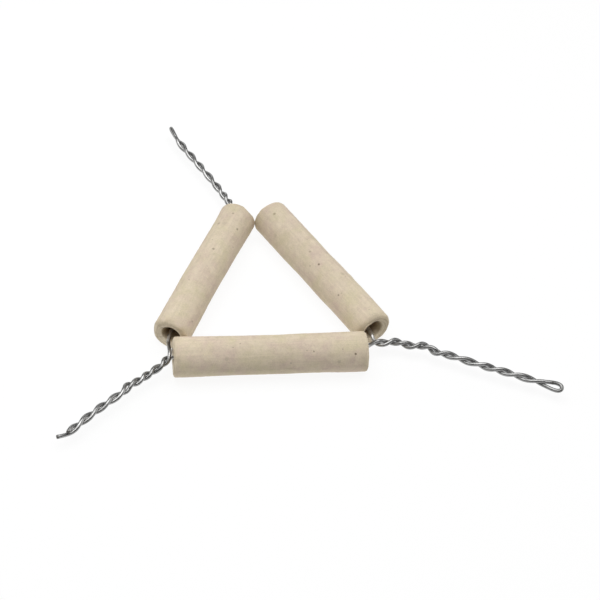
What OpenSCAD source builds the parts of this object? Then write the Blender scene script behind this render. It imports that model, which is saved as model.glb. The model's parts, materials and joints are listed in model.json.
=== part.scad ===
// Pipe clay triangle: three fired-clay tubes strung on one wire, whose ends are twisted
// together into three legs. A crucible sits in the gap between the tubes.
// X runs along the front tube, Y towards the back corner and Z up. The tubes stand on z = 0,
// and the origin is under the centre of the seat.

/* [Clay tubes] */
// Length of the front tube
front_length = 60; // [45:0.5:75]
// Length of the left tube
left_length = 59.2; // [45:0.1:75]
// Length of the right tube
right_length = 60.7; // [45:0.1:75]
// Outside diameter of the tubes
tube_d = 12.3; // [10:0.1:15]
// Diameter of the bore
bore_d = 5.5; // [4.4:0.1:6.8]
// Rounding of the tubes' outer edges
edge_r = 0.9; // [0.4:0.1:1.2]
// Rounding of the bore's mouths
mouth_r = 0.4; // [0.2:0.1:0.6]

/* [How the tubes meet] */
// How far in from the front tube's left end the left tube meets it
left_inset = 4.8; // [2:0.1:10]
// How far in from the front tube's right end the right tube meets it
right_inset = 0.8; // [0.5:0.1:10]
// Clearance between the left and the front tube
left_gap = 0.6; // [0.3:0.1:1.5]
// Clearance between the right and the front tube
right_gap = 0.3; // [0.3:0.1:1.5]
// Clearance between the left and the right tube
back_gap = 0.4; // [0.3:0.1:1.5]

/* [Wire] */
// Diameter of the wire
wire_d = 1.25; // [0.9:0.05:1.6]
// Clearance between the wire and the wall of the bore
wire_gap = 0.3; // [0.2:0.05:0.5]
// Clearance between the two strands of a leg
strand_gap = 0.1; // [0.06:0.02:0.3]
// Length of a hairpin, from the last twist to its tip
eye_length = 5.5; // [4:0.5:8]
// How much wider than the twist a hairpin is, on each side
eye_bulge = 0.45; // [0:0.05:0.8]

/* [Hidden] */
$fn = 96;

CLAY = "#d8c9ae";
STEEL = "#9a9a98";

tube_r = tube_d / 2;
bore_r = bore_d / 2;
wire_r = wire_d / 2;
twist_r = wire_r + strand_gap / 2;        // from a leg's middle to each strand's
play = bore_r - wire_r - wire_gap;        // how far off the bore's axis the wire lies
leg_z = tube_r - play;                    // height of the legs: the wire low in the bores
ring_sides = 8;                           // sides of the wire's section
ring_step = 0.75;                          // longest stretch between two of its rings
UP = [0, 0, 1];

// ---- Plan of the tubes -------------------------------------------------------------
// The rounded edge of a side tube is a circle of edge_r in plan. The three gaps place the
// centres of those circles: two beside the front tube, two facing each other at the back.

function unit(v) = v / norm(v);
function heading(a) = [cos(a), sin(a)];
function angle_of(v) = atan2(v.y, v.x);
function third_angle(a, b, c) = acos((a * a + b * b - c * c) / (2 * a * b));
function crossing(p, u, q, v) =
    p + u * ((q.x - p.x) * v.y - (q.y - p.y) * v.x) / (u.x * v.y - u.y * v.x);

front_mid = [0, 0];
left_pin = [left_inset - front_length / 2, tube_r + left_gap + edge_r];
right_pin = [front_length / 2 - right_inset, tube_r + right_gap + edge_r];
pin_base = right_pin - left_pin;
left_side = left_length - 2 * edge_r;
right_side = right_length - 2 * edge_r;
base_side = norm(pin_base) - 2 * edge_r - back_gap;
left_angle = angle_of(pin_base) + third_angle(base_side, left_side, right_side);
right_angle = angle_of(pin_base) - third_angle(base_side, right_side, left_side);

left_dir = heading(left_angle);                 // from the front tube to the back corner
left_out = [-left_dir.y, left_dir.x];           // away from the seat
right_dir = heading(right_angle);               // from the back corner to the front tube
right_out = [-right_dir.y, right_dir.x];
left_mid = left_pin + left_dir * left_side / 2 + left_out * (tube_r - edge_r);
right_mid = right_pin - right_dir * right_side / 2 + right_out * (tube_r - edge_r);

// The seat's centre is the incentre of the triangle that the three axes make.
corner_l = crossing(front_mid, [1, 0], left_mid, left_dir);
corner_r = crossing(front_mid, [1, 0], right_mid, right_dir);
corner_b = crossing(left_mid, left_dir, right_mid, right_dir);
side_f = norm(corner_r - corner_l);
side_l = norm(corner_b - corner_l);
side_r = norm(corner_b - corner_r);
seat = (corner_b * side_f + corner_r * side_l + corner_l * side_r) / (side_f + side_l + side_r);

// A tube: its middle, the way it points, the way out of the triangle, and its length.
FRONT = [front_mid - seat, [1, 0], [0, -1], front_length];
LEFT = [left_mid - seat, left_dir, left_out, left_length];
RIGHT = [right_mid - seat, right_dir, right_out, right_length];
function tube_end(tube, end) = tube[0] + tube[1] * end * tube[3] / 2;

// ---- The wire's path ----------------------------------------------------------------

// Where the wire leaves a bore: it bears towards `bear` degrees from straight down, turned
// away from the seat, and leaves turned by `yaw` towards that side and up by `pitch`.
function mouth(tube, end, bear, yaw, pitch) = let (
        p = tube_end(tube, end),
        out = tube[2],
        along = tube[1] * end,
        flat = along * cos(yaw) + out * sin(yaw)
    ) [
        [p.x, p.y, tube_r] + play * (sin(bear) * [out.x, out.y, 0] - cos(bear) * UP),
        [flat.x * cos(pitch), flat.y * cos(pitch), sin(pitch)]
    ];

// A cubic curve from p along u to q along v, both ends left out.
function bridge(p, u, q, v, pull, n) = let (h = norm(q - p) * pull)
    [for (i = [1 : n - 1]) let (t = i / n, s = 1 - t)
        p * pow(s, 3) + (p + h * u) * 3 * s * s * t + (q - h * v) * 3 * s * t * t + q * pow(t, 3)];

// A smooth line through points, with n steps between two of them.
function spline(p, n) = let (m = len(p) - 1) concat([for (i = [0 : m - 1]) each let (
        a = p[max(i - 1, 0)], b = p[i], c = p[i + 1], d = p[min(i + 2, m)]
    ) [for (k = [0 : n - 1]) let (t = k / n)
        0.5 * (2 * b + (c - a) * t + (2 * a - 5 * b + 4 * c - d) * t * t
            + (3 * b - a - 3 * c + d) * t * t * t)]], [p[m]]);

function running_sum(v) = [for (i = 0, s = 0; i <= len(v); s = s + (i < len(v) ? v[i] : 0), i = i + 1) s];

// A leg is [middle line, half turns, first angle, hand, length of its twist]. The line is a
// table of x, y and z over the distance from the first crossing of the strands.
function leg(corner, route, half_turns, first_angle, hand, twist_length) = let (
        line = spline([for (r = route) [corner.x + r.x, corner.y + r.y, leg_z + r.z]], 16),
        at = running_sum([for (i = [1 : len(line) - 1]) norm(line[i] - line[i - 1])]),
        crossings = running_sum(half_turns)
    ) [
        [for (axis = [0 : 2]) [for (i = [0 : len(line) - 1]) [at[i], line[i][axis]]]],
        [for (i = [0 : len(crossings) - 1]) [crossings[i], i]],
        first_angle, hand, twist_length
    ];
function middle(g, s) = [for (axis = [0 : 2]) lookup(s, g[0][axis])];
function leg_dir(g, s) = unit(middle(g, s + 0.6) - middle(g, s - 0.6 * sign(s)));
function turn(g, s) = g[2] + g[3] * 180 * lookup(s, g[1]);
function aside(g, s, a) = let (t = leg_dir(g, s), n = unit(cross(UP, t)), b = cross(t, n))
    cos(a) * n + sin(a) * b;

// A strand of a leg: a = 0 for the one in front at the first crossing, 180 for the other.
function strand_point(g, s, a) = middle(g, s) + twist_r * aside(g, s, turn(g, s) + a);
function strand_dir(g, s, a) = unit(strand_point(g, s + 0.1, a) - strand_point(g, s, a));
function strand(g, from, to, a) = let (n = ceil((to - from) / ring_step))
    [for (i = [0 : n]) strand_point(g, from + (to - from) * i / n, a)];

// The hairpin at a leg's tip, from the strand at angle a round to the other one. It goes on
// turning a little as it starts, and bulges to each side.
function hairpin(g, a) = let (
        s = g[4],
        rate = (turn(g, s) - turn(g, s - 0.5)) / 0.5,
        n = 14
    ) [for (i = [1 : n - 1]) let (
            u = 180 * i / n,
            x = eye_length * sin(u),
            w = twist_r * cos(u) + eye_bulge * sin(2 * u),
            p = middle(g, s) + leg_dir(g, s) * x
        ) p + w * aside(g, s, turn(g, s) + a + rate * (x - x * x / (2 * eye_length)))];

// Out along one strand, round the hairpin, and back along the other.
function there_and_back(g, a, out_from, back_to) = let (
        back = strand(g, back_to, g[4], a + 180)
    ) concat(
        strand(g, out_from, g[4], a),
        hairpin(g, a),
        [for (i = [len(back) - 1 : -1 : 0]) back[i]]
    );

// Through a tube, from one strand's start to another's: in by mouth m, out by mouth o, and
// then past the places in `via`.
function threaded(from, m, o, to, via = []) = let (stops = concat([o], via, [to])) concat(
        bridge(from[0], -from[1], m[0], -m[1], 0.4, 8),
        [m[0]],
        bridge(m[0], -m[1], o[0], o[1], 0.1, 12),
        [for (i = [1 : len(stops) - 1]) let (a = stops[i - 1], b = stops[i])
            each concat([a[0]], bridge(a[0], a[1], b[0], b[1], 0.4, 8))]
    );

// The middle line of each leg, from the corner between its two tubes.
function between(a, b) = (a + b) / 2;
left_corner = between(tube_end(FRONT, -1), tube_end(LEFT, -1));
right_corner = between(tube_end(FRONT, 1), tube_end(RIGHT, 1));
back_corner = between(tube_end(LEFT, 1), tube_end(RIGHT, -1));
// The left leg's first crossing stands clear of the front tube's end, and the strands pass
// each other there one above the other.
left_route = [[-0.65 - wire_r, -3.55, 0.87 * wire_d], [-3.25, -6.25, 0.65], [-6.3, -8.3, 0],
    [-15.1, -16.2, 0], [-23.9, -23.1, 0], [-33, -31.4, 0]];
right_route = [[1.5, 1.2, 0], [6.2, 0.8, 0], [14.7, -1.1, 0], [18.6, -2.3, 0], [22.5, -4.7, 0],
    [33.4, -9.8, 0], [44.1, -14.5, 0], [57.5, -20.3, 0]];
back_route = [[-5.4, 4.6, 0], [-6.8, 7.8, 0], [-12, 19.8, 0], [-17.5, 31, 0], [-23, 42.4, 0],
    [-25.2, 49.8, 0]];
left_tail = [-35.4, -32.3, 0];
// Where the wire dips low between the two tubes at the back.
back_dip = [[back_corner.x, back_corner.y, leg_z] + [1.1, -0.3, -0.9], unit([-1, 0.2, 0])];

// Each half turn's length, out from the corner, as twisting by hand left it.
left_turns = [3.6, 4.2, 3.6, 4, 4.4, 5.7, 5.4, 5.9, 6];
right_turns = [4.7, 4, 4.7, 3.8, 5, 5.8, 6.3, 5.5, 6, 6.9, 8];
back_turns = [3.5, 3.4, 4.1, 5.6, 6.5, 5.8, 6.3, 6.5, 8];

left_leg = leg(left_corner, left_route, left_turns, 58, -1, 39);
right_leg = leg(right_corner, right_route, right_turns, 132, -1, 55);
back_leg = leg(back_corner, back_route, back_turns, 60, 1, 43);

function start(g, s, a) = [strand_point(g, s, a), strand_dir(g, s, a)];
short_end = 40.5;
long_from = 39;
tail_tip = [left_corner.x, left_corner.y, leg_z] + left_tail;
tail_dir = unit([-1, -0.1, 0]);
short_strand = strand(left_leg, 0, short_end, 180);
long_strand = strand(left_leg, 0, long_from, 0);

wire_path = concat(
    [for (i = [len(short_strand) - 1 : -1 : 0]) short_strand[i]],
    threaded(start(left_leg, 0, 180), mouth(FRONT, -1, -16, 11, -49),
        mouth(FRONT, 1, -90, -25, 0), start(right_leg, 0, 0)),
    there_and_back(right_leg, 0, 0, 1),
    threaded(start(right_leg, 1, 180), mouth(RIGHT, 1, -30, -20, -5),
        mouth(RIGHT, -1, -10, -30, -10), start(back_leg, 0, 180), [back_dip]),
    there_and_back(back_leg, 180, 0, 0),
    threaded(start(back_leg, 0, 0), mouth(LEFT, 1, 0, 0, 0),
        mouth(LEFT, -1, 19, -24, -19), start(left_leg, 0, 0)),
    long_strand,
    bridge(start(left_leg, long_from, 0)[0], start(left_leg, long_from, 0)[1],
        tail_tip, tail_dir, 0.35, 10),
    [tail_tip]
);

// ---- Solids --------------------------------------------------------------------------

// A tube on the X axis: a section with rounded edges, turned about its own axis.
module clay_tube(length) {
    half = length / 2;
    ends = [[1, 1], [-1, 1]];
    rotate([0, 90, 0]) rotate_extrude() difference() {
        translate([bore_r, -half]) square([tube_r - bore_r, length]);
        for (s = [-1, 1]) {
            edge_cut([tube_r, s * half], [-1, -s], edge_r);
            edge_cut([bore_r, s * half], [1, -s], mouth_r);
        }
    }
}

// What rounding takes off a square corner: `way` points into the material.
module edge_cut(at, way, r) {
    translate(at) scale([way.x, way.y]) difference() {
        translate([-0.01, -0.01]) square(r + 0.01);
        translate([r, r]) circle(r);
    }
}

module place(tube) {
    translate([tube[0].x, tube[0].y, tube_r]) rotate([0, 0, angle_of(tube[1])]) children();
}

// A round bar swept along a line of points. Its rings stay square to the line and are
// carried on from one to the next without twisting.
module swept(path, r) {
    n = len(path);
    t = [for (i = [0 : n - 1]) unit(path[min(i + 1, n - 1)] - path[max(i - 1, 0)])];
    side = [for (i = 0, v = cross(UP, t[0]); i < n;
        v = let (w = t[min(i + 1, n - 1)]) unit(v - (v * w) * w), i = i + 1) unit(v)];
    points = [for (i = [0 : n - 1], k = [0 : ring_sides - 1]) let (a = 360 * k / ring_sides)
        path[i] + r * (cos(a) * side[i] + sin(a) * cross(t[i], side[i]))];
    first = [for (k = [ring_sides - 1 : -1 : 0]) k];
    last = [for (k = [0 : ring_sides - 1]) (n - 1) * ring_sides + k];
    walls = [for (i = [0 : n - 2], k = [0 : ring_sides - 1]) let (
            a = i * ring_sides + k, b = i * ring_sides + (k + 1) % ring_sides
        ) each [[a, b, b + ring_sides], [a, b + ring_sides, a + ring_sides]]];
    polyhedron(points, concat([first, last], walls), convexity = 10);
}

module front_tube() { color(CLAY) place(FRONT) clay_tube(front_length); }
module left_tube() { color(CLAY) place(LEFT) clay_tube(left_length); }
module right_tube() { color(CLAY) place(RIGHT) clay_tube(right_length); }
module wire() { color(STEEL) swept(wire_path, wire_r); }

front_tube();
left_tube();
right_tube();
wire();
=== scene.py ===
"""A pipe clay triangle: three fired-clay tubes strung on one wire, twisted into three legs."""
import json
import math

import bpy
import numpy as np
from mathutils import Matrix


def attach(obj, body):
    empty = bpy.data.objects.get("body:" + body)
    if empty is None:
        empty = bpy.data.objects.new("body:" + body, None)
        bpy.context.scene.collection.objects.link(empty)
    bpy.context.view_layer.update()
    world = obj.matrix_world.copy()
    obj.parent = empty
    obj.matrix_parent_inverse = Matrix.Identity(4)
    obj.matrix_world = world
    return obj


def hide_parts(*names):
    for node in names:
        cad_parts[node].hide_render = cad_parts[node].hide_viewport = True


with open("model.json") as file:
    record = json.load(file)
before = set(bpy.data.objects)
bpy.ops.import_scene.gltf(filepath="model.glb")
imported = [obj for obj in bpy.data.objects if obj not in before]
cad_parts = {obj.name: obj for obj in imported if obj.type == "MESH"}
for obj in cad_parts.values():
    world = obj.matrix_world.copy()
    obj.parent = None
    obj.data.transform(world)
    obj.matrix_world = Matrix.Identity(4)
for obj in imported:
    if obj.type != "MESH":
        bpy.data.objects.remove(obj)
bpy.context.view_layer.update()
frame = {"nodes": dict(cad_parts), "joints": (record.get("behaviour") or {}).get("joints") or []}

# ---- Clay tubes -----------------------------------------------------------------------
# Each tube is pipe clay pressed through a die, cut to length while it was soft and fired
# hard. It dried a little bent and thicker at its ends, with a bore that runs slightly off
# the middle, and it hangs loose on the wire that runs through it.

MM = 0.001
UP = np.array([0.0, 0.0, 1.0])
TUBE_R = 6.15
BORE_R = 2.75
EDGE_R = 0.95
MOUTH_R = 0.3
FLARE_LENGTH = 6.0
AROUND = 320
STATIONS = [-1, -0.5, 0, 0.5, 1]


def unit(v):
    """Vectors, one in each row, brought to length 1."""
    return v / np.linalg.norm(v, axis=-1, keepdims=True)


class Tube:
    """Where a tube lies, in mm: its middle, its axis, the side away from the seat, its
    half length and its radius."""

    def __init__(self, node):
        joint = next(j for j in frame["joints"] if j["child"] == node)
        self.middle = np.array(joint["pos_m"]) / MM
        self.axis = unit(np.array(joint["axis"], float))
        flat = self.middle - UP * self.middle[2]
        self.out = unit(flat - self.axis * (flat @ self.axis))
        reach = np.array([v.co for v in frame["nodes"][node].data.vertices]) / MM - self.middle
        self.half = np.abs(reach @ self.axis).max()
        self.radius = np.hypot(reach @ self.out, reach @ UP).max()

    def end(self, side):
        """The middle of an end face: side 1 is the one that the axis points to."""
        return self.middle + self.axis * self.half * side


def ripple(points, seed, longest, shortest, count=40):
    """Smooth random relief with mean 0 and spread 1: a sum of cosine waves that run in
    random directions, with wavelengths from longest to shortest, in mm."""
    random = np.random.default_rng(seed)
    way = unit(random.normal(size=(count, 3)))
    length = shortest * (longest / shortest) ** random.random(count)
    phase = random.uniform(0, math.tau, count)
    waves = way.T * (math.tau / length)
    return np.cos(points @ waves + phase).sum(-1) * math.sqrt(2 / count)


def ring_wave(turn, seed, most):
    """A random curve round a ring, about -1 to 1: cosines of 1 to `most` waves a turn."""
    random = np.random.default_rng(seed)
    waves = np.arange(1, most + 1)[:, None]
    size = random.uniform(0.4, 1, (most, 1)) / np.sqrt(waves)
    phase = random.uniform(0, math.tau, (most, 1))
    return (size * np.cos(waves * turn + phase)).sum(0) / size.sum() * 1.6


def smooth(low, high, value):
    """0 below low, 1 above high, and 3t^2 - 2t^3 between."""
    t = np.clip((value - low) / (high - low), 0, 1)
    return t * t * (3 - 2 * t)


def section(half, radius, edges, mouths):
    """The closed outline of a tube's wall, at each angle round it: distance along, radius,
    and the two parts of its normal, each a grid of outline by angle.

    The outline runs along the wall, round the edge, down the end face, round the mouth and
    back along the bore, then up the other end. Its runs are straight lines and quarter
    circles. `edges` and `mouths` hold the radii of the circles, for ends +1 and -1.
    """
    runs = []

    def line(start, stop, normal, steps):
        t = np.linspace(0, 1, steps, endpoint=False)[:, None]
        along = start[0] + (stop[0] - start[0]) * t
        across = start[1] + (stop[1] - start[1]) * t
        runs.append([along, across, along * 0 + normal[0], along * 0 + normal[1]])

    def arc(centre, size, first, last, steps):
        a = np.radians(np.linspace(first, last, steps, endpoint=False))[:, None]
        flat = np.zeros_like(size)
        cos, sin = np.cos(a) + flat, np.sin(a) + flat
        runs.append([centre[0] + size * cos, centre[1] + size * sin, cos, sin])

    e, f = edges
    m, n = mouths
    line([f - half, radius], [half - e, radius], [0, 1], 150)
    arc([half - e, radius - e], e, 90, 0, 14)
    line([half, radius - e], [half, BORE_R + m], [1, 0], 12)
    arc([half - m, BORE_R + m], m, 0, -90, 10)
    line([half - m, BORE_R], [n - half, BORE_R], [0, -1], 60)
    arc([n - half, BORE_R + n], n, -90, -180, 10)
    line([-half, BORE_R + n], [-half, radius - f], [-1, 0], 12)
    arc([f - half, radius - f], f, 180, 90, 14)
    return [np.concatenate([np.broadcast_to(run[k], (len(run[k]), AROUND)) for run in runs])
            for k in range(4)]


def grid_faces(rows, columns, closed):
    """Four-sided faces between the points of a grid. Its columns close into a ring, and its
    rows do too if it is closed."""
    row = np.arange(rows if closed else rows - 1)[:, None]
    column = np.arange(columns)[None, :]
    above = (row + 1) % rows * columns
    beside = (column + 1) % columns
    row = row * columns
    corners = np.stack([row + column, row + beside, above + beside, above + column], -1)
    return corners.reshape(-1, 4)


def make_piece(name, points, faces, inside_out=False):
    """A smooth mesh object from points in mm and faces of any length."""
    loops = [list(face)[::-1] if inside_out else list(face) for face in faces]
    mesh = bpy.data.meshes.new(name)
    mesh.from_pydata(points.reshape(-1, 3) * MM, [], loops)
    mesh.polygons.foreach_set("use_smooth", np.ones(len(loops), bool))
    mesh.update()
    piece = bpy.data.objects.new(name, mesh)
    bpy.context.scene.collection.objects.link(piece)
    return piece


def add_attribute(piece, name, kind, values):
    """Stores a number or a vector at each point, for the material to read."""
    field = "vector" if kind == "FLOAT_VECTOR" else "value"
    data = piece.data.attributes.new(name, kind, "POINT")
    data.data.foreach_set(field, np.ascontiguousarray(values, np.float32).ravel())


def clay_tube(node, seed, girth, sway, rise, bore_at, out_of_square, edge=(1, 1), dents=(),
              flats=()):
    """A tube as it came out of the kiln, in place of its plain CAD node.

    girth, sway and rise are how much wider it is, and how far its middle line lies outward
    and up, at five stations along it. bore_at is how far off the middle the bore opens at
    each end, outward and up, and how much wider. edge is how much rounder each end is than
    usual. A dent is [along, angle, width, depth], a bump has a depth below 0, and a flat is
    [along, angle, tilt, depth]: a plane that cuts a corner off.
    """
    tube = Tube(node)
    turn = np.linspace(0, math.tau, AROUND, endpoint=False)
    edges = [EDGE_R * (edge[2 - k] + 0.3 * ring_wave(turn, seed + k, 7)) for k in (1, 2)]
    mouths = [MOUTH_R * (1 + 0.4 * ring_wave(turn, seed + k, 5)) for k in (3, 4)]
    along, across, normal_x, normal_r = section(tube.half, tube.radius, edges, mouths)

    def at_stations(values):
        return np.polyval(np.polyfit(STATIONS, values, 4), along / tube.half)

    wall = smooth(BORE_R + 0.5, tube.radius - 1, across)
    inner = 1 - np.clip((across - BORE_R - 0.5) / (tube.radius - EDGE_R - BORE_R - 0.5), 0, 1)
    plain = np.stack([along, across * np.sin(turn), across * np.cos(turn)], -1)
    relief = 0.035 * ripple(plain, seed + 5, 26, 8) + 0.012 * ripple(plain, seed + 6, 3.5, 1.2)
    face = np.abs(normal_x) * smooth(tube.half - 1.5, tube.half - 0.3, np.abs(along))
    relief = relief + 0.035 * face * ripple(plain, seed + 7, 5, 1.5)
    for x, angle, width, depth in dents:
        a = math.radians(angle)
        spot = np.array([x, tube.radius * math.sin(a), tube.radius * math.cos(a)])
        far = np.linalg.norm(plain - spot, axis=-1) / width
        relief = relief - depth * np.exp(-far * far)
    along = along + relief * normal_x
    across = across + relief * normal_r + wall * at_stations(girth)
    for x, angle, tilt, depth in flats:
        a, b = math.radians(angle), math.radians(tilt)
        toward = math.cos(a) * np.cos(turn) + math.sin(a) * np.sin(turn)
        side = math.copysign(1, x)
        way = np.array([side * math.sin(b), math.cos(b)])
        reach = along * way[0] + across * toward * way[1]
        limit = x * way[0] + tube.radius * way[1] - depth
        over = np.maximum(reach - limit, 0) * wall
        along = along - over * way[0]
        across = across - over * toward * way[1]

    square = smooth(tube.half - 6, tube.half, np.abs(along))
    out = across * np.sin(turn)
    up = across * np.cos(turn)
    for side, (yaw, pitch) in zip((-1, 1), out_of_square):
        here = square * (np.sign(along) == side)
        along = along + here * (out * yaw + up * pitch) / tube.radius
    for side, (shift_out, shift_up, flare) in zip((-1, 1), bore_at):
        here = smooth(tube.half - FLARE_LENGTH, tube.half, along * side) * inner
        out = out + here * (shift_out + flare * np.sin(turn))
        up = up + here * (shift_up + flare * np.cos(turn))
    place = np.stack([along, out, up], -1)
    out = out + at_stations(sway)
    up = np.maximum(up + at_stations(rise), -tube.radius)
    points = tube.middle + along[..., None] * tube.axis + out[..., None] * tube.out
    points = points + up[..., None] * UP

    left_handed = np.cross(tube.axis, tube.out) @ UP < 0
    piece = make_piece(node + "_clay", points, grid_faces(*along.shape, True), not left_handed)
    add_attribute(piece, "place_mm", "FLOAT_VECTOR", place)
    add_attribute(piece, "cut", "FLOAT", face * smooth(BORE_R - 0.2, BORE_R + 0.3, across))
    inside = (1 - smooth(BORE_R, BORE_R + 0.5, across)) * (1 - face)
    add_attribute(piece, "depth_mm", "FLOAT", inside * (tube.half - np.abs(along)))
    rim = smooth(tube.half - 4, tube.half, np.abs(along)) * smooth(BORE_R, tube.radius, across)
    add_attribute(piece, "rim", "FLOAT", rim)
    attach(piece, node)
    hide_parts(node)
    return piece


class Shade:
    """A number, colour or vector that varies over a surface: one socket of a material.
    Arithmetic on numbers adds the material's Math nodes."""

    def __init__(self, tree, socket=None):
        self.tree = tree
        self.socket = socket

    def node(self, kind, settings, values, output=0):
        """Adds a node of any kind: its settings first, then its sockets' values or links.
        The shade that it returns is that one of its outputs."""
        made = self.tree.nodes.new(kind)
        for name, setting in settings.items():
            setattr(made, name, setting)
        for name, value in values.items():
            if isinstance(value, Shade):
                self.tree.links.new(value.socket, made.inputs[name])
            else:
                made.inputs[name].default_value = value
        return Shade(self.tree, made.outputs[output] if len(made.outputs) else None)

    def math(self, operation, first, second=0.0):
        return self.node("ShaderNodeMath", {"operation": operation}, {0: first, 1: second})

    def __add__(self, other):
        return self.math("ADD", self, other)

    def __sub__(self, other):
        return self.math("SUBTRACT", self, other)

    def __mul__(self, other):
        return self.math("MULTIPLY", self, other)

    __radd__ = __add__
    __rmul__ = __mul__

    def rise(self, low, high):
        """0 at low and 1 at high, smooth between; the other way round if high is lower."""
        values = {"Value": self, "From Min": low, "From Max": high}
        if high < low:
            values = {"Value": self, "From Min": high, "From Max": low,
                      "To Min": 1.0, "To Max": 0.0}
        return self.node("ShaderNodeMapRange", {"interpolation_type": "SMOOTHSTEP"}, values)

    def blend(self, none, full):
        """A colour that goes from one to another as this number goes from 0 to 1."""
        colours = [c if isinstance(c, Shade) else (*c, 1.0) for c in (none, full)]
        values = {0: self, 6: colours[0], 7: colours[1]}
        return self.node("ShaderNodeMix", {"data_type": "RGBA"}, values, 2)

    def tinted(self, amount):
        """This colour, times a number that varies."""
        values = {0: self, "Scale": amount}
        return self.node("ShaderNodeVectorMath", {"operation": "SCALE"}, values)

    def stretched(self, by):
        """This vector, times another, part by part."""
        return self.node("ShaderNodeVectorMath", {"operation": "MULTIPLY"}, {0: self, 1: by})

    def pointing(self):
        """This vector, brought to length 1."""
        return self.node("ShaderNodeVectorMath", {"operation": "NORMALIZE"}, {0: self})

    def distance(self, point):
        """How far this place is from a point."""
        values = {0: self, 1: point}
        return self.node("ShaderNodeVectorMath", {"operation": "DISTANCE"}, values, 1)

    def noise(self, size, detail, rough, shift=0.0):
        """Random patches about `size` across, around 0.5."""
        values = {"Vector": self, "W": shift, "Scale": 1 / size, "Detail": detail,
                  "Roughness": rough}
        return self.node("ShaderNodeTexNoise", {"noise_dimensions": "4D"}, values)

    def cells(self, size):
        """Distance from the nearest of random points about `size` apart, as a share of it."""
        values = {"Vector": self, "Scale": 1 / size, "Randomness": 1.0}
        return self.node("ShaderNodeTexVoronoi", {}, values)

    def bump(self, height, depth):
        """A normal, from a height that varies from 0 to 1 and its depth in metres."""
        return self.node("ShaderNodeBump", {}, {"Height": height, "Distance": depth})


def new_material(name):
    """A material with only its output, and a shade to build its nodes from."""
    material = bpy.data.materials.new(name)
    material.use_nodes = True
    material.node_tree.nodes.clear()
    return material, Shade(material.node_tree)


def surface(shade, values, metallic=0.0):
    """Ends a material with its shader and output."""
    shader = shade.node("ShaderNodeBsdfPrincipled", {}, {"Metallic": metallic, **values})
    shade.node("ShaderNodeOutputMaterial", {}, {"Surface": shader})


CLAY = (0.630, 0.540, 0.415)
CLAY_PINK = (0.645, 0.522, 0.425)
CLAY_YELLOW = (0.650, 0.570, 0.398)
CUT_CLAY = (0.78, 0.68, 0.52)
BROWN_CLAY_AND_SHADE = (0.50, 0.41, 0.27)
BORE_SHADE_CLAY = (0.33, 0.245, 0.165)
SPECK = (0.20, 0.15, 0.10)
SMUDGE_AND_SHADE = (0.42, 0.35, 0.26)
CLAY_RELIEF = 0.00016


def fired_clay(name, shift, tones, end_shade, marks):
    """Fired clay: buff with pink and yellow patches, fine grain, pores, a few dark specks
    and faint lines from the die. Cut ends are paler, with rings and streaks of browner clay
    that the knife left. The bore darkens deeper in: painted shade.

    tones are how light a tube is at its first end, in its middle and at its other end, and
    end shade is painted shade: how much darker and browner its cut ends are made. marks are
    [along, angle, size, strength]: dark spots at chosen places; some large faint ones are
    painted shade.
    """
    material, clay = new_material(name)
    place = clay.node("ShaderNodeAttribute", {"attribute_name": "place_mm"}, {}, "Vector")
    cut = clay.node("ShaderNodeAttribute", {"attribute_name": "cut"}, {}, "Fac")
    rim = clay.node("ShaderNodeAttribute", {"attribute_name": "rim"}, {}, "Fac")
    depth = clay.node("ShaderNodeAttribute", {"attribute_name": "depth_mm"}, {}, "Fac")

    lengthwise = clay.node("ShaderNodeSeparateXYZ", {}, {"Vector": place})
    tone = tones[0] + (tones[1] - tones[0]) * lengthwise.rise(-30.0, -8.0)
    tone = tone + (tones[2] - tones[1]) * lengthwise.rise(0.0, 30.0)
    patches = place.noise(7.0, 3.0, 0.5, shift)
    cloud = place.noise(2.6, 3.0, 0.6, shift + 1)
    grain = place.noise(0.42, 3.0, 0.7, shift + 2)
    lines = place.stretched((0.035, 1.0, 1.0)).noise(0.9, 3.0, 0.65, shift + 3)
    pores = place.cells(0.9).rise(0.16, 0.05)
    specks = place.cells(4.2).rise(0.055, 0.025)
    across = place.stretched((0.0, 1.0, 1.0))
    from_axis = across.distance((0.0, 0.0, 0.0)) + (cloud - 0.5) * 1.2
    rings = clay.node("ShaderNodeCombineXYZ", {}, {"X": from_axis}).noise(0.5, 2.0, 0.6, shift)
    spokes = across.pointing().noise(0.14, 2.0, 0.6, shift)

    colour = patches.rise(0.38, 0.62).blend(CLAY_PINK, CLAY_YELLOW)
    colour = cloud.rise(0.3, 0.7).blend(colour, CLAY)
    light = tone + 0.45 * (cloud - 0.5) + 0.42 * (grain - 0.5) + 0.30 * (lines - 0.5)
    colour = colour.tinted(light)
    colour = cut.blend(colour, CUT_CLAY)
    turned = rings.rise(0.42, 0.66) * 0.5 + spokes.rise(0.5, 0.7) * 0.3
    # Painted shade: a tube's cut ends can be made darker and browner as a whole; the knife rings
    # and streaks are the clay's own.
    colour = (cut * (turned + end_shade)).blend(colour, BROWN_CLAY_AND_SHADE)
    colour = (rim * cloud.rise(0.42, 0.60) * 0.5).blend(colour, BROWN_CLAY_AND_SHADE)
    colour = (pores * 0.25).blend(colour, SPECK)
    colour = (specks * 0.6).blend(colour, SPECK)
    for x, angle, size, strength in marks:
        a = math.radians(angle)
        spot = (x, TUBE_R * math.sin(a), TUBE_R * math.cos(a))
        near = place.distance(spot) + (grain - 0.5) * size * 0.8
        mask = near.rise(size, size * 0.4) * strength
        # Large marks are smudges, and on the right tube's front end they are painted shade.
        colour = mask.blend(colour, SPECK if size < 0.8 else SMUDGE_AND_SHADE)
    # Painted shade: the bore darkens from its mouth to 6 mm inside.
    colour = depth.rise(0.0, 6.0).blend(colour, BORE_SHADE_CLAY)

    height = cloud * 0.35 + grain * 0.35 + lines * 0.3 - pores * 0.5 - specks * 0.3
    height = height - cut * turned
    normal = clay.bump(height, CLAY_RELIEF)
    rough = 0.84 + 0.12 * grain
    surface(clay, {"Base Color": colour, "Roughness": rough, "Normal": normal,
                   "Specular IOR Level": 0.3})
    return material


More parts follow.
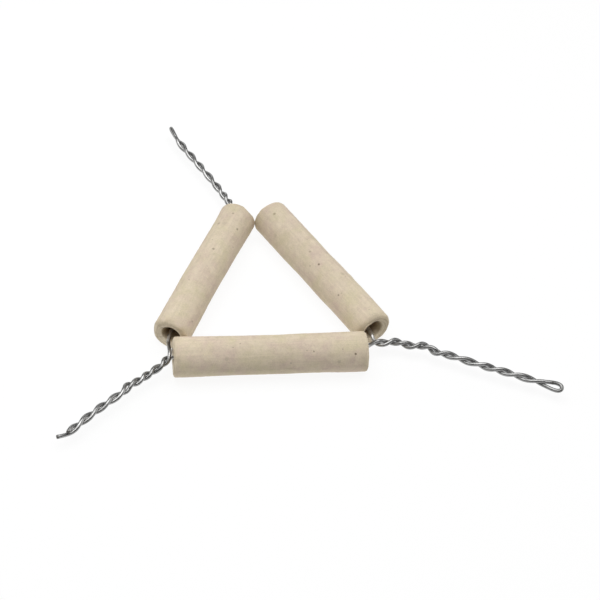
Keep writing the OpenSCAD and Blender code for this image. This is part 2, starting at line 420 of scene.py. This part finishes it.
front = clay_tube(
    "front_tube", 10,
    girth=[0.12, 0.0, -0.09, 0.0, 0.12], sway=[-0.1, -0.1, -0.1, -0.1, -0.1],
    rise=[0.15, 0.05, 0, 0.05, 0.15],
    bore_at=[(0, 0.1, 0.1), (0, 0.1, 0.1)], out_of_square=[(0.0, 0.1), (0.0, -0.1)],
    dents=[(25.6, 48, 0.5, 0.05), (12.7, 37, 0.6, 0.03), (-6, 70, 5, 0.05)],
)
front.data.materials.append(fired_clay(
    "front_clay", 0.0, (1.09, 1.0, 1.03), 0.0,
    [(25.6, 49, 0.5, 1.0), (12.7, 37, 0.4, 0.7), (10.6, 34, 0.3, 0.4), (20.5, 70, 0.8, 0.5),
     (21.7, 34, 0.35, 0.4), (-14, 51, 1.0, 0.4), (-12, 18, 0.35, 0.35), (5.6, 70, 0.4, 0.35),
     (-28.8, 52, 1.0, 0.35)],
))

left = clay_tube(
    "left_tube", 30,
    girth=[-0.1, -0.22, -0.22, -0.15, 0.12], sway=[0.05, 0.2, 0.2, -0.05, -0.15],
    rise=[0, 0, 0, 0, 0],
    bore_at=[(-0.2, 0.5, 0.45), (0, 0.1, 0.1)], out_of_square=[(0.2, -0.1), (0.1, 0.0)],
    dents=[(19, -75, 4, 0.1), (23.5, -70, 2.5, -0.1)],
    flats=[(29.6, -42, 45, 0.75), (-29.6, 85, 50, 1.0)],
)
left.data.materials.append(fired_clay(
    "left_clay", 4.0, (1.03, 1.0, 1.0), 0.0,
    [(6.2, -2, 0.7, 0.6), (19, -35, 0.6, 0.6), (24.4, 2, 0.55, 0.45), (18.8, 11, 0.9, 0.35),
     (18.8, 30, 0.7, 0.35), (-9.7, 17, 0.5, 0.4), (-8.1, -53, 0.4, 0.45),
     (-24, -58, 0.5, 0.45), (1.9, 24, 0.4, 0.35), (-29.2, 72, 0.6, 0.6)],
))

right = clay_tube(
    "right_tube", 50,
    girth=[0.12, 0.0, -0.06, -0.05, -0.05], sway=[0.0, 0.02, 0.02, 0.0, -0.1],
    rise=[0, 0, 0, 0, 0],
    bore_at=[(0, 0.1, 0.1), (-0.95, 0.7, 0.65)], out_of_square=[(0.15, -0.05), (0.4, -0.05)],
    edge=(1, 1.5), dents=[(9.5, 50, 1.2, -0.12)],
)
right.data.materials.append(fired_clay(
    # 0.3 is painted shade on this tube's cut ends.
    "right_clay", 8.0, (0.97, 0.98, 1.04), 0.3,
    [(1.5, -23, 0.5, 0.95), (-0.4, -46, 0.4, 0.4), (-25.3, -17, 0.65, 0.5),
     (-4.6, -16, 0.55, 0.4), (15.2, -43, 0.5, 0.6), (15.5, -32, 0.4, 0.35),
     # The last three marks, large and faint at 30.8 and 31, are painted shade on this tube's end
     # by the front corner.
     (9, 17, 0.8, 0.5), (-18.9, -62, 0.8, 0.35), (30.8, -65, 3.5, 0.3), (31, -5, 3.5, 0.35),
     (30.8, 145, 4.0, 0.35)],
))

# ---- Wire -----------------------------------------------------------------------------
# One length of galvanised steel wire, 18 gauge, threaded by hand through the three tubes.
# Between two tubes it is bent into a hairpin and twisted into a leg, and its two cut ends
# are twisted together into the third.

WIRE_R = 0.625
STRAND_GAP = 0.1
WIRE_GAP = 0.3
TWIST_R = WIRE_R + STRAND_GAP / 2
PLAY = BORE_R - WIRE_R - WIRE_GAP
EYE_LENGTH = 5.5
DARK_BAND_FROM_TIP = 3.6
STRAND_STEP = 0.75
STEP = 0.2
SIDES = 24
SLANT = (0.52, 0.23, 0.82)

FRONT = Tube("front_tube")
LEFT = Tube("left_tube")
RIGHT = Tube("right_tube")
LEG_Z = FRONT.radius - PLAY


def mouth(tube, side, bear, yaw, pitch):
    """Where the wire leaves a bore, and the way it points there. It lies `bear` degrees
    from straight down, outward, and leaves turned by `yaw` outward and up by `pitch`."""
    bear, yaw, pitch = np.radians([bear, yaw, pitch])
    flat = tube.axis * side * math.cos(yaw) + tube.out * math.sin(yaw)
    place = tube.end(side) + PLAY * (math.sin(bear) * tube.out - math.cos(bear) * UP)
    return place, flat * math.cos(pitch) + UP * math.sin(pitch)


def bridge(start, stop, pull, steps):
    """A cubic Bezier curve from one place and direction to another, without its ends."""
    (p, u), (q, v) = start, stop
    h = np.linalg.norm(q - p) * pull
    t = np.linspace(0, 1, steps + 1)[1:-1, None]
    s = 1 - t
    return p * s**3 + (p + h * u) * 3 * s * s * t + (q - h * v) * 3 * s * t * t + q * t**3


def spline(points, steps):
    """A Catmull-Rom curve through points."""
    p = np.array(points)
    a, b, c, d = p[[0, *range(len(p) - 2)]], p[:-1], p[1:], p[[*range(2, len(p)), -1]]
    t = np.linspace(0, 1, steps, endpoint=False)[None, :, None]
    a, b, c, d = (x[:, None, :] for x in (a, b, c, d))
    curve = 0.5 * (2 * b + (c - a) * t + (2 * a - 5 * b + 4 * c - d) * t**2
                   + (3 * b - a - 3 * c + d) * t**3)
    return np.concatenate([curve.reshape(-1, 3), p[-1:]])


class Leg:
    """Two strands twisted round a middle line that starts at a corner between two tubes.

    half_turns are the lengths of its half turns, as twisting by hand left them. A strand
    lies at the leg's turn plus its own angle, square to the middle line. `bulge` is how far
    the hairpin at the tip swells to each side.
    """

    loose = (0.0, 1.0, (0.0, 0.0, 0.0))
    blunt = 1.0

    def __init__(self, corner, route, half_turns, first_angle, hand, twist_length, bulge):
        self.line = spline(np.array(route) + [corner[0], corner[1], LEG_Z], 16)
        steps = np.linalg.norm(np.diff(self.line, axis=0), axis=1)
        self.at = np.concatenate([[0], np.cumsum(steps)])
        self.crossings = np.concatenate([[0], np.cumsum(half_turns)])
        self.first_angle = first_angle
        self.hand = hand
        self.length = twist_length
        self.bulge = bulge

    def middle(self, s):
        return np.stack([np.interp(s, self.at, axis) for axis in self.line.T], -1)

    def way(self, s):
        return unit(self.middle(s + 0.6) - self.middle(s - 0.6 * np.sign(s)))

    def turn(self, s):
        half_turns = np.interp(s, self.crossings, np.arange(len(self.crossings)))
        return self.first_angle + self.hand * 180 * half_turns

    def aside(self, s, angle):
        way = self.way(s)
        level = unit(np.cross(UP, way))
        a = np.radians(angle)[..., None]
        return np.cos(a) * level + np.sin(a) * np.cross(way, level)

    def point(self, s, angle):
        """A strand's place at s. One turn of the second strand may stand off as a loose
        loop: `loose` is its place, its width and the way that it stands off."""
        place, width, off = self.loose
        share = np.exp(-(((s - place) / width) ** 2)) * (angle == 180)
        away = TWIST_R * self.aside(s, self.turn(s) + angle)
        return self.middle(s) + away + share[..., None] * np.array(off)

    def start(self, s, angle):
        """A strand's place at s, and the way it runs there, outward."""
        s = np.float64(s)
        return self.point(s, angle), unit(self.point(s + 0.1, angle) - self.point(s, angle))

    def strand(self, first, last, angle):
        """Places along one strand, about STRAND_STEP apart."""
        count = 1 + round((last - first) / STRAND_STEP)
        return self.point(np.linspace(first, last, count), angle)

    def hairpin(self, angle):
        """Round the tip, from one strand to the other: half an ellipse that bulges to both
        sides and goes on turning a little. `blunt` below 1 makes its end blunter."""
        rate = (self.turn(self.length) - self.turn(self.length - 0.5)) / 0.5
        u = np.linspace(0, math.pi, 29)[1:-1]
        x = EYE_LENGTH * np.sin(u) ** self.blunt
        wide = TWIST_R * np.cos(u) + self.bulge * np.sin(2 * u)
        s = np.full_like(u, self.length)
        angle = self.turn(s) + angle + rate * (x - x * x / (2 * EYE_LENGTH))
        return self.middle(s) + self.way(s) * x[:, None] + self.aside(s, angle) * wide[:, None]

    def there_and_back(self, angle, first, last):
        """Out along one strand, round the hairpin and back along the other."""
        return [self.strand(first, self.length, angle), self.hairpin(angle),
                self.strand(last, self.length, angle + 180)[::-1]]


def back(start):
    """The same place, seen the other way."""
    return start[0], -start[1]


def threaded(start, enter, leave, stop, via=()):
    """In at one mouth of a tube and out at the other, then past the places in `via`."""
    parts = [bridge(back(start), back(enter), 0.4, 8), enter[0][None],
             bridge(back(enter), leave, 0.1, 12)]
    stops = [leave, *via, stop]
    for a, b in zip(stops, stops[1:]):
        parts += [a[0][None], bridge(a, b, 0.4, 8)]
    return parts


left_corner = (FRONT.end(-1) + LEFT.end(-1)) / 2
right_corner = (FRONT.end(1) + RIGHT.end(1)) / 2
back_corner = (LEFT.end(1) + RIGHT.end(-1)) / 2
left_leg = Leg(
    left_corner,
    [(-0.55 - WIRE_R, -3.55, 1.74 * WIRE_R), (-3.25, -6.25, 0.65), (-6.3, -8.3, 0),
     (-10.9, -12.0, 0), (-13.7, -13.9, 0), (-15.5, -16.1, 0), (-23.75, -23.15, 0),
     (-32.55, -31.7, 0)],
    [3.6, 4.2, 3.6, 4, 4.4, 5.7, 5.4, 5.9, 5.3], 58, -1, 39, 0)
left_leg.loose = (16.4, 1.9, (0.0, 0.3, 0.3))
right_leg = Leg(
    right_corner,
    [(2.1, 0.8, 0), (4.5, 0.6, 0), (8.4, 0.9, 0), (12.7, -0.9, 0), (15, -1.0, 0),
     (17.4, -1.2, 0), (19.1, -2.4, 0), (20.6, -4.1, 0), (23.2, -4.9, 0), (28.1, -7.3, 0),
     (33.5, -9.9, 0), (44.1, -14.7, 0), (58.5, -21.3, 0)],
    [4.7, 4, 4.7, 4, 4.85, 5.95, 6.6, 5.4, 5.95, 7.2, 8], 107, -1, 55, 0.75)
right_leg.blunt = 0.65
back_leg = Leg(
    back_corner,
    [(-5.4, 4.6, 0), (-6.8, 7.8, 0), (-12, 19.8, 0), (-17.5, 31, 0), (-23, 42.4, 0),
     (-24.8, 49.8, 0)],
    [3.5, 3.4, 4.1, 5.6, 6.5, 5.8, 6.3, 6.5, 40], 60, 1, 43, 0.45)

SHORT_END = 41.8
LONG_FROM = 41
back_dip = (back_corner * [1, 1, 0] + UP * LEG_Z + [1.1, -0.3, -0.9],
            unit(np.array([-1, 0.2, 0])))
tail = (left_corner * [1, 1, 0] + UP * LEG_Z + [-35.2, -32.4, 0],
        unit(np.array([-1, -0.2, 0])))
route = np.concatenate([
    left_leg.strand(0, SHORT_END, 180)[::-1],
    *threaded(left_leg.start(0, 180), mouth(FRONT, -1, -42, 11, -49),
              mouth(FRONT, 1, -90, -25, 0), right_leg.start(0, 0)),
    *right_leg.there_and_back(0, 0, 1),
    *threaded(right_leg.start(1, 180), mouth(RIGHT, 1, -50, -20, -5),
              mouth(RIGHT, -1, -10, -30, -10), back_leg.start(0, 180), [back_dip]),
    *back_leg.there_and_back(180, 0, 0),
    *threaded(back_leg.start(0, 0), mouth(LEFT, 1, 0, 0, 0),
              mouth(LEFT, -1, 18, -19, -19), left_leg.start(0, 0)),
    left_leg.strand(0, LONG_FROM, 0),
    bridge(left_leg.start(LONG_FROM, 0), tail, 0.35, 10),
    tail[0][None],
])


def even(points, step):
    """A smooth curve through points, as points `step` apart along it."""
    fine = spline(points, 12)
    steps = np.linalg.norm(np.diff(fine, axis=0), axis=1)
    fine = fine[np.concatenate([[True], steps > 1e-6])]
    at = np.concatenate([[0], np.cumsum(np.linalg.norm(np.diff(fine, axis=0), axis=1))])
    s = np.linspace(0, at[-1], round(at[-1] / step))
    return np.stack([np.interp(s, at, axis) for axis in fine.T], -1), s


def wire_skin(line, s):
    """A round bar along a line. Each ring is square to the line, with its first side turned
    from a slanting direction that the line never takes. The cut ends are rounded off."""
    way = unit(np.gradient(line, axis=0))
    level = unit(np.cross(SLANT, way))
    turn = np.linspace(0, math.tau, SIDES, endpoint=False)
    from_end = np.minimum(s, s[-1] - s)
    radius = WIRE_R * (0.82 + 0.18 * np.sqrt(smooth(0, 0.5, from_end)))
    ring = (np.cos(turn)[None, :, None] * level[:, None, :]
            + np.sin(turn)[None, :, None] * np.cross(way, level)[:, None, :])
    return line[:, None, :] + ring * radius[:, None, None]


def in_bores(points):
    """1 where the wire runs inside a tube, and 0 from just outside its mouths."""
    most = np.zeros(len(points))
    for tube in (FRONT, LEFT, RIGHT):
        along = (points - tube.middle) @ tube.axis
        beside = np.linalg.norm(points - tube.middle - along[:, None] * tube.axis, axis=-1)
        within = 1 - smooth(tube.half - 1, tube.half + 2, np.abs(along))
        most = np.maximum(most, within * (beside < BORE_R))
    return most


line, s = even(route, STEP)
skin = wire_skin(line, s)
rings = len(line)
first_cap = np.arange(SIDES)[None, ::-1]
last_cap = (rings - 1) * SIDES + np.arange(SIDES)[None, :]
walls = grid_faces(rings, SIDES, False)
wire = make_piece("wire_steel", skin, [*first_cap, *walls, *last_cap])
add_attribute(wire, "round", "FLOAT_VECTOR", np.stack([
    np.repeat(s, SIDES),
    np.tile(np.cos(np.arange(SIDES) / SIDES * math.tau), rings),
    np.tile(np.sin(np.arange(SIDES) / SIDES * math.tau), rings)], -1))
# Painted light: the wire inside the tubes is made much lighter where the bores shade it.
add_attribute(wire, "bore_light", "FLOAT", np.repeat(in_bores(line), SIDES))
# A short dark band on the wire near the tip of the right leg's hairpin.
dark_band = np.abs(s - s[np.argmax(line[:, 0])] + DARK_BAND_FROM_TIP)
bare = np.maximum(1 - smooth(0.3, 0.8, np.minimum(s, s[-1] - s)), 1 - smooth(0.2, 0.5, dark_band))
add_attribute(wire, "bare", "FLOAT", np.repeat(bare, SIDES))
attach(wire, "wire")
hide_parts("wire")

ZINC = (0.38, 0.38, 0.375)
DULL_ZINC = (0.27, 0.27, 0.265)
BORE_LIT_ZINC = (0.78, 0.77, 0.75)
SCUFF = (0.17, 0.165, 0.155)
STEEL_RELIEF = 0.00002


def drawn_steel(name):
    """Galvanised wire: grey zinc with fine lines from the drawing die, duller patches and a few
    dark scuffs. Inside the tubes it is painted much lighter, as painted light where the bores
    shade it. It is bare and dark at its cut ends, and dark in a short band near one hairpin."""
    material, steel = new_material(name)
    place = steel.node("ShaderNodeAttribute", {"attribute_name": "round"}, {}, "Vector")
    bore_light = steel.node("ShaderNodeAttribute", {"attribute_name": "bore_light"}, {}, "Fac")
    bare = steel.node("ShaderNodeAttribute", {"attribute_name": "bare"}, {}, "Fac")
    lines = place.stretched((0.06, 1.6, 1.6)).noise(0.35, 3.0, 0.6)
    patches = place.stretched((1.0, 0.8, 0.8)).noise(5.0, 3.0, 0.6, 7.0)
    scuffs = place.noise(1.1, 2.0, 0.5, 5.0).rise(0.64, 0.74)
    dull = patches.rise(0.42, 0.66)
    colour = dull.blend(ZINC, DULL_ZINC).tinted(0.88 + 0.24 * lines)
    colour = (scuffs * 0.25).blend(colour, SCUFF)
    # Painted light on the wire inside the bores.
    colour = bore_light.blend(colour, BORE_LIT_ZINC)
    colour = bare.blend(colour, SCUFF)
    rough = 0.24 + 0.10 * dull + 0.10 * lines + 0.3 * bare
    normal = steel.bump(lines * 0.6 + scuffs * 0.15, STEEL_RELIEF)
    surface(steel, {"Base Color": colour, "Roughness": rough, "Normal": normal}, 0.9)
    return material


wire.data.materials.append(drawn_steel("wire_zinc"))

# ---- Stage ----------------------------------------------------------------------------
# A white table under one large softbox, with four weaker ones round it. The table glows,
# which keeps the shadows under the tubes faint.

white, floor_shade = new_material("white_table")
surface(floor_shade, {"Base Color": (0.10, 0.10, 0.10, 1), "Roughness": 0.9,
                      "Specular IOR Level": 0.0, "Emission Color": (1, 1, 1, 1),
                      "Emission Strength": 0.90})
TABLE_REACH = 3.0
mesh = bpy.data.meshes.new("table")
corners = [(x * TABLE_REACH, y * TABLE_REACH, 0) for x, y in ((-1, -1), (1, -1), (1, 1), (-1, 1))]
mesh.from_pydata(corners, [], [(0, 1, 2, 3)])
mesh.materials.append(white)
table = bpy.data.objects.new("table", mesh)
bpy.context.scene.collection.objects.link(table)


def placed(x, z, place):
    """An object's matrix, from its X and Z axes and its place."""
    columns = np.stack([x, np.cross(z, x), z, place], -1)
    return Matrix(np.vstack([columns, [0, 0, 0, 1]]).tolist())


def turned_to(place, target):
    """The matrix that puts an object at a place, with its -Z pointing to a target."""
    z = unit(place - target)
    return placed(unit(np.cross(UP, z)), z, place)


def softbox(name, place, width, depth, power):
    """A rectangular light that faces the middle of the object."""
    lamp = bpy.data.lights.new(name, "AREA")
    lamp.shape = "RECTANGLE"
    lamp.size = width
    lamp.size_y = depth
    lamp.energy = power
    light = bpy.data.objects.new(name, lamp)
    bpy.context.scene.collection.objects.link(light)
    light.matrix_world = turned_to(np.array(place), np.zeros(3))


softbox("overhead_softbox", (0.0, 0.02, 0.60), 0.60, 0.60, 3.6)
softbox("upper_left_softbox", (-0.35, 0.10, 0.50), 0.40, 0.40, 0.8)
softbox("left_softbox", (-0.60, 0.05, 0.20), 0.40, 0.40, 0.4)
softbox("right_softbox", (0.60, 0.05, 0.25), 0.40, 0.40, 0.8)
softbox("back_softbox", (0.0, 0.60, 0.25), 0.40, 0.40, 0.45)

world = bpy.data.worlds.new("dim_room")
world.use_nodes = True
world.node_tree.nodes["Background"].inputs["Color"].default_value = (0.01, 0.01, 0.01, 1)
bpy.context.scene.world = world
bpy.context.scene.view_settings.view_transform = "Standard"

# ---- Camera ---------------------------------------------------------------------------
# It stands in front of the triangle and a little to the left, looking down at 46 degrees.

CAMERA = (-0.05483, -0.33111, 0.35108)
RIGHTWARD = np.array([0.9905, -0.1129, 0.0791])
FORWARD = np.array([0.1353, 0.6865, -0.7144])
camera = bpy.data.objects.new("camera", bpy.data.cameras.new("camera"))
camera.data.sensor_width = 36
camera.data.lens = 90.47
camera.data.clip_start = 0.01
camera.data.clip_end = 20
x = unit(RIGHTWARD)
z = -unit(FORWARD - x * (FORWARD @ x))
camera.matrix_world = placed(x, z, CAMERA)
bpy.context.scene.collection.objects.link(camera)
bpy.context.scene.camera = camera
